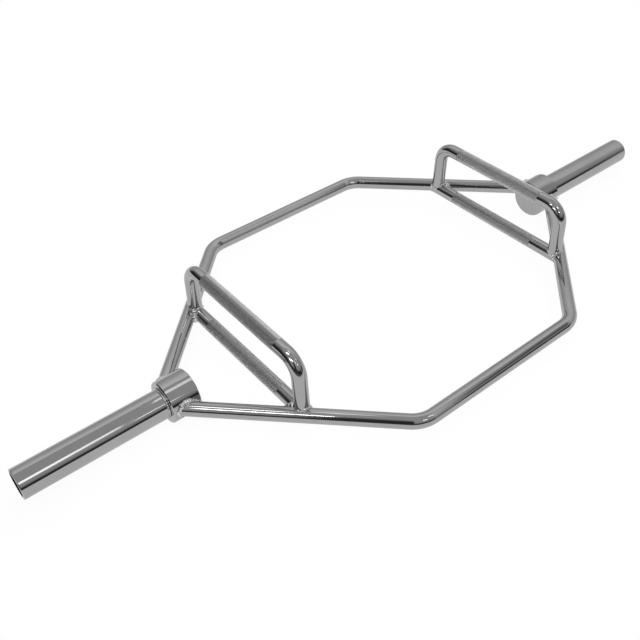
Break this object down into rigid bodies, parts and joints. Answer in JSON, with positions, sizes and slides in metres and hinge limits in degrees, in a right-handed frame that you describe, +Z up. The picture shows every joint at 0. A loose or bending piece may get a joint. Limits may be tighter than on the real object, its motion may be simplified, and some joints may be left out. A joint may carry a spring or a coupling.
{
  "type": "hex trap bar",
  "caption": "Welded hexagonal lifting bar with low and raised knurled handles, plate stop collars and open plate sleeves on both ends.",
  "frame": {"origin": "on the floor under the middle of the bar, where the collars rest", "axes": "+X along the sleeves towards the right sleeve, +Y from the front to the rear, +Z up towards the raised handles"},
  "size_m": [1.4, 0.605, 0.1485],
  "materials": {
    "frame_chrome": "bright chrome plate on bent round steel bar",
    "collar_chrome": "bright chrome plate over fine turning marks",
    "sleeve_chrome": "bright chrome plate with light scuffs along the sleeve",
    "handle_chrome": "chrome plate, satin on the knurled band and bright beside it",
    "weld_chrome": "chrome plate over an uneven hand-laid bead"
  },
  "bodies": {
    "root": {"front_frame_bar": "frame_chrome", "rear_frame_bar": "frame_chrome", "left_collar": "collar_chrome", "left_sleeve": "sleeve_chrome", "left_low_handle": "handle_chrome", "left_raised_handle": "handle_chrome", "left_sleeve_weld": "weld_chrome", "left_front_collar_weld": "weld_chrome", "left_front_low_handle_weld": "weld_chrome", "left_front_raised_handle_weld": "weld_chrome", "left_rear_collar_weld": "weld_chrome", "left_rear_low_handle_weld": "weld_chrome", "left_rear_raised_handle_weld": "weld_chrome", "right_collar": "collar_chrome", "right_sleeve": "sleeve_chrome", "right_low_handle": "handle_chrome", "right_raised_handle": "handle_chrome", "right_sleeve_weld": "weld_chrome", "right_front_collar_weld": "weld_chrome", "right_front_low_handle_weld": "weld_chrome", "right_front_raised_handle_weld": "weld_chrome", "right_rear_collar_weld": "weld_chrome", "right_rear_low_handle_weld": "weld_chrome", "right_rear_raised_handle_weld": "weld_chrome"}
  },
  "joints": []
}
